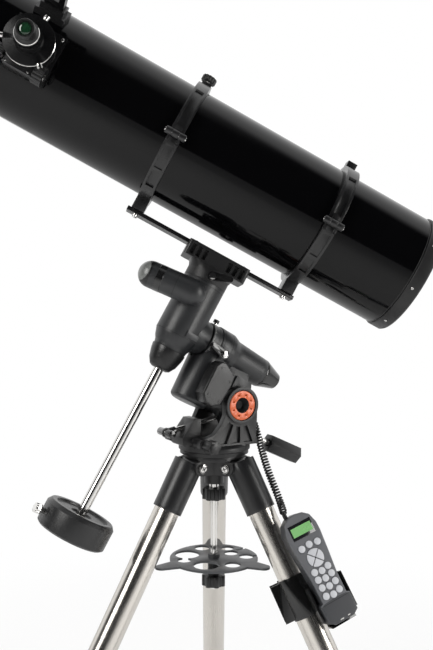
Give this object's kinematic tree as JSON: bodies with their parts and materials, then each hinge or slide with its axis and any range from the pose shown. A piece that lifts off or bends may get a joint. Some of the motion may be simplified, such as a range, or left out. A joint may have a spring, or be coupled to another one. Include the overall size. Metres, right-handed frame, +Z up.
{
  "type": "newtonian reflector telescope",
  "caption": "Newtonian reflector telescope on a motorised German equatorial mount and a steel tripod, with counterweight, finder and wired hand control.",
  "frame": {"origin": "at floor level, under the middle of the bounding box; the tripod's centre axis is at X 27.3 mm", "axes": "+Z up, -X towards the pole side of the polar axis, the altitude pivot along Y"},
  "size_m": [0.9158, 0.8455, 1.7601],
  "materials": {
    "gloss_black_paint": "gloss",
    "textured_black_paint": "satin textured",
    "charcoal_paint": "satin",
    "black_anodised": "satin",
    "stainless": "brushed",
    "chromed_steel": "polished",
    "cast_black": "satin",
    "black_plastic": "satin",
    "gloss_black_plastic": "gloss",
    "orange_anodised": "satin anodised",
    "grey_plastic": "satin",
    "key_grey": "matte",
    "dark_rubber": "matte",
    "mirror_glass": "polished",
    "iron_grey_paint": "satin paint",
    "collar_paint": "satin paint",
    "textured_cell_paint": "satin textured"
  },
  "bodies": {
    "tripod_head": {"tripod_head": "cast_black", "leg_hinge_bolts": "chromed_steel"},
    "leg_1": {"leg_1_collar": "collar_paint", "leg_1_tube": "stainless"},
    "leg_1_lower": {"leg_1_extension": "stainless"},
    "leg_1_lock": {"leg_1_lock_knob": "black_plastic"},
    "leg_2": {"leg_2_collar": "collar_paint", "leg_2_tube": "stainless", "hand_control_holder": "gloss_black_plastic", "coiled_cord": "dark_rubber"},
    "leg_2_lower": {"leg_2_extension": "stainless"},
    "leg_2_lock": {"leg_2_lock_knob": "black_plastic"},
    "leg_3": {"leg_3_collar": "collar_paint", "leg_3_tube": "stainless"},
    "leg_3_lower": {"leg_3_extension": "stainless"},
    "leg_3_lock": {"leg_3_lock_knob": "black_plastic"},
    "centre_rod": {"centre_rod": "chromed_steel", "mount_clamp_knob": "black_plastic"},
    "tray": {"accessory_tray": "cast_black"},
    "tray_knob": {"tray_knob": "black_plastic"},
    "azimuth": {"azimuth_base": "cast_black"},
    "azimuth_knobs": {"azimuth_knobs": "black_plastic"},
    "ra_body": {"ra_housing": "charcoal_paint", "altitude_caps": "orange_anodised", "ra_motor_cover": "charcoal_paint", "control_panel_cover": "black_plastic"},
    "t_bolt": {"latitude_t_bolt": "chromed_steel"},
    "rear_bolt": {"latitude_rear_bolt": "black_plastic"},
    "polar_cap": {"polar_scope_cap": "gloss_black_plastic"},
    "ra_lever": {"ra_clutch_lever": "black_plastic"},
    "ra_circle": {"ra_setting_circle": "charcoal_paint"},
    "dec_body": {"dec_housing": "charcoal_paint", "dec_motor_cover": "charcoal_paint", "counterweight_bar": "chromed_steel", "bar_safety_cap": "chromed_steel"},
    "counterweight": {"counterweight": "iron_grey_paint"},
    "counterweight_screw": {"counterweight_screw": "chromed_steel"},
    "saddle_body": {"saddle": "cast_black", "dovetail_bar": "black_anodised", "ring_front_lower": "charcoal_paint", "ring_rear_lower": "charcoal_paint", "ring_fasteners": "chromed_steel"},
    "dec_lever": {"dec_clutch_lever": "black_plastic"},
    "saddle_knob": {"saddle_clamp_knob": "black_plastic"},
    "ring_front_top": {"ring_front_upper": "charcoal_paint"},
    "ring_rear_top": {"ring_rear_upper": "charcoal_paint"},
    "tube": {"main_tube": "gloss_black_paint", "rear_cell": "textured_cell_paint", "primary_mirror": "mirror_glass", "front_ring": "textured_black_paint", "spider_vanes": "black_anodised", "secondary_mirror": "mirror_glass", "focuser_body": "black_anodised", "finder_bracket": "black_anodised", "finder_scope": "black_anodised"},
    "drawtube": {"focuser_drawtube": "black_anodised"},
    "focus_knobs": {"focuser_knobs": "black_plastic"},
    "eyepiece": {"eyepiece": "black_anodised"},
    "hand_control": {"hand_control_body": "grey_plastic"},
    "keys": {"hand_control_keys": "key_grey"}
  },
  "joints": [
    {"name": "leg_1_fold", "type": "hinge", "parent": "tripod_head", "child": "leg_1", "pos_m": [-0.02066, 0, 0.739], "axis": [0, 1, 0], "range_deg": [-20, 0]},
    {"name": "leg_1_extend", "type": "slide", "parent": "leg_1", "child": "leg_1_lower", "axis": [-0.4761, 0, -0.8794], "range_m": [0, 0.3]},
    {"name": "leg_1_lock_turn", "type": "hinge", "parent": "leg_1", "child": "leg_1_lock", "pos_m": [-0.42297, 0, 0.08347], "axis": [-0.8794, 0, 0.4761], "range_deg": [0, 180]},
    {"name": "leg_2_fold", "type": "hinge", "parent": "tripod_head", "child": "leg_2", "pos_m": [0.05134, -0.04157, 0.739], "axis": [-0.866, -0.5, 0], "range_deg": [-20, 0]},
    {"name": "leg_2_extend", "type": "slide", "parent": "leg_2", "child": "leg_2_lower", "axis": [0.238, -0.4123, -0.8794], "range_m": [0, 0.3]},
    {"name": "leg_2_lock_turn", "type": "hinge", "parent": "leg_2", "child": "leg_2_lock", "pos_m": [0.25249, -0.38997, 0.08347], "axis": [0.4397, -0.7616, 0.4761], "range_deg": [0, 180]},
    {"name": "leg_3_fold", "type": "hinge", "parent": "tripod_head", "child": "leg_3", "pos_m": [0.05134, 0.04157, 0.739], "axis": [0.866, -0.5, 0], "range_deg": [-20, 0]},
    {"name": "leg_3_extend", "type": "slide", "parent": "leg_3", "child": "leg_3_lower", "axis": [0.238, 0.4123, -0.8794], "range_m": [0, 0.3]},
    {"name": "leg_3_lock_turn", "type": "hinge", "parent": "leg_3", "child": "leg_3_lock", "pos_m": [0.25249, 0.38997, 0.08347], "axis": [0.4397, 0.7616, 0.4761], "range_deg": [0, 180]},
    {"name": "centre_rod_turn", "type": "hinge", "parent": "tripod_head", "child": "centre_rod", "pos_m": [0.02734, 0, 0.7], "axis": [0, 0, 1], "continuous": true},
    {"name": "tray_down", "type": "slide", "parent": "tripod_head", "child": "tray", "axis": [0, 0, -1], "range_m": [-0.0001, 0.4721]},
    {"name": "tray_knob_turn", "type": "hinge", "parent": "tray", "child": "tray_knob", "pos_m": [0.02734, 0, 0.5], "axis": [0, 0, 1], "continuous": true},
    {"name": "azimuth_turn", "type": "hinge", "parent": "tripod_head", "child": "azimuth", "pos_m": [0.02734, 0, 0.762], "axis": [0, 0, 1], "range_deg": [-7, 7]},
    {"name": "azimuth_knobs_shift", "type": "slide", "parent": "azimuth", "child": "azimuth_knobs", "axis": [0, 1, 0], "range_m": [-0.0066, 0.0066]},
    {"name": "altitude_tilt", "type": "hinge", "parent": "azimuth", "child": "ra_body", "pos_m": [0.05314, 0, 0.8611], "axis": [0, 1, 0], "range_deg": [-7, 30]},
    {"name": "t_bolt_travel", "type": "slide", "parent": "azimuth", "child": "t_bolt", "axis": [0.981, 0, 0.1942], "range_m": [-0.0115, 0.0027]},
    {"name": "rear_bolt_travel", "type": "slide", "parent": "azimuth", "child": "rear_bolt", "axis": [-0.9092, 0, 0.4163], "range_m": [-0.0043, 0.0181]},
    {"name": "polar_cap_pull", "type": "slide", "parent": "ra_body", "child": "polar_cap", "axis": [0.8805, 0, -0.4741], "range_m": [0, 0.06]},
    {"name": "ra_lever_turn", "type": "hinge", "parent": "ra_body", "child": "ra_lever", "pos_m": [0.02162, -0.046, 0.96087], "axis": [0, 1, 0], "range_deg": [-30, 30]},
    {"name": "ra_circle_turn", "type": "hinge", "parent": "ra_body", "child": "ra_circle", "pos_m": [0.00976, 0, 0.98315], "axis": [-0.8805, 0, 0.4741], "range_deg": [-60, 90]},
    {"name": "ra_turn", "type": "hinge", "parent": "ra_body", "child": "dec_body", "pos_m": [-0.04835, 0, 1.01444], "axis": [-0.8805, 0, 0.4741], "range_deg": [-84, 96]},
    {"name": "counterweight_slide", "type": "slide", "parent": "dec_body", "child": "counterweight", "axis": [0.4714, -0.1063, 0.8755], "range_m": [0, 0.185]},
    {"name": "counterweight_screw_turn", "type": "hinge", "parent": "counterweight", "child": "counterweight_screw", "pos_m": [-0.31061, 0.04523, 0.67502], "axis": [-0.8805, 0, 0.4741], "range_deg": [0, 180]},
    {"name": "dec_turn", "type": "hinge", "parent": "dec_body", "child": "saddle_body", "pos_m": [-0.04835, 0, 1.01444], "axis": [0.4714, -0.1063, 0.8755], "continuous": true},
    {"name": "dec_lever_turn", "type": "hinge", "parent": "saddle_body", "child": "dec_lever", "pos_m": [-0.01242, -0.05923, 1.11241], "axis": [-0.3731, -0.9236, 0.0888], "range_deg": [-30, 30]},
    {"name": "saddle_knob_turn", "type": "hinge", "parent": "saddle_body", "child": "saddle_knob", "pos_m": [0.03898, 0.02062, 1.14536], "axis": [-0.3731, -0.9236, 0.0888], "range_deg": [0, 180]},
    {"name": "ring_front_open", "type": "hinge", "parent": "saddle_body", "child": "ring_front_top", "pos_m": [-0.10648, -0.08875, 1.36758], "axis": [0.7991, -0.3685, -0.475], "range_deg": [0, 100]},
    {"name": "ring_rear_open", "type": "hinge", "parent": "saddle_body", "child": "ring_rear_top", "pos_m": [0.15859, -0.21097, 1.21002], "axis": [0.7991, -0.3685, -0.475], "range_deg": [0, 100]},
    {"name": "tube_turn", "type": "hinge", "parent": "saddle_body", "child": "tube", "pos_m": [0.09741, -0.03286, 1.28514], "axis": [-0.7991, 0.3685, 0.475], "continuous": true},
    {"name": "focus", "type": "slide", "parent": "tube", "child": "drawtube", "axis": [-0.4004, -0.9156, 0.0367], "range_m": [0, 0.035]},
    {"name": "focus_knobs_turn", "type": "hinge", "parent": "tube", "child": "focus_knobs", "pos_m": [-0.36109, 0.01823, 1.48172], "axis": [-0.7991, 0.3685, 0.475], "range_deg": [-167.2, 0]},
    {"name": "eyepiece_out", "type": "slide", "parent": "drawtube", "child": "eyepiece", "axis": [-0.4004, -0.9156, 0.0367], "range_m": [0, 0.06]},
    {"name": "hand_control_lift", "type": "slide", "parent": "leg_2", "child": "hand_control", "axis": [-0.238, 0.4123, 0.8794], "range_m": [0, 0.07], "deforming": ["coiled_cord"]},
    {"name": "keys_press", "type": "slide", "parent": "hand_control", "child": "keys", "axis": [0.2363, 0.9028, -0.3593], "range_m": [0, 0.0012]}
  ],
  "couplings": [
    {"joint": "leg_2_fold", "follows": "leg_1_fold", "ratio": 1},
    {"joint": "leg_3_fold", "follows": "leg_1_fold", "ratio": 1},
    {"joint": "tray_down", "follows": "leg_1_fold", "m_per_rad": -1.3522},
    {"joint": "azimuth_knobs_shift", "follows": "azimuth_turn", "m_per_rad": 0.054},
    {"joint": "t_bolt_travel", "follows": "altitude_tilt", "m_per_rad": -0.021772},
    {"joint": "rear_bolt_travel", "follows": "altitude_tilt", "m_per_rad": 0.034377},
    {"joint": "focus_knobs_turn", "follows": "focus", "rad_per_m": -83.333}
  ]
}
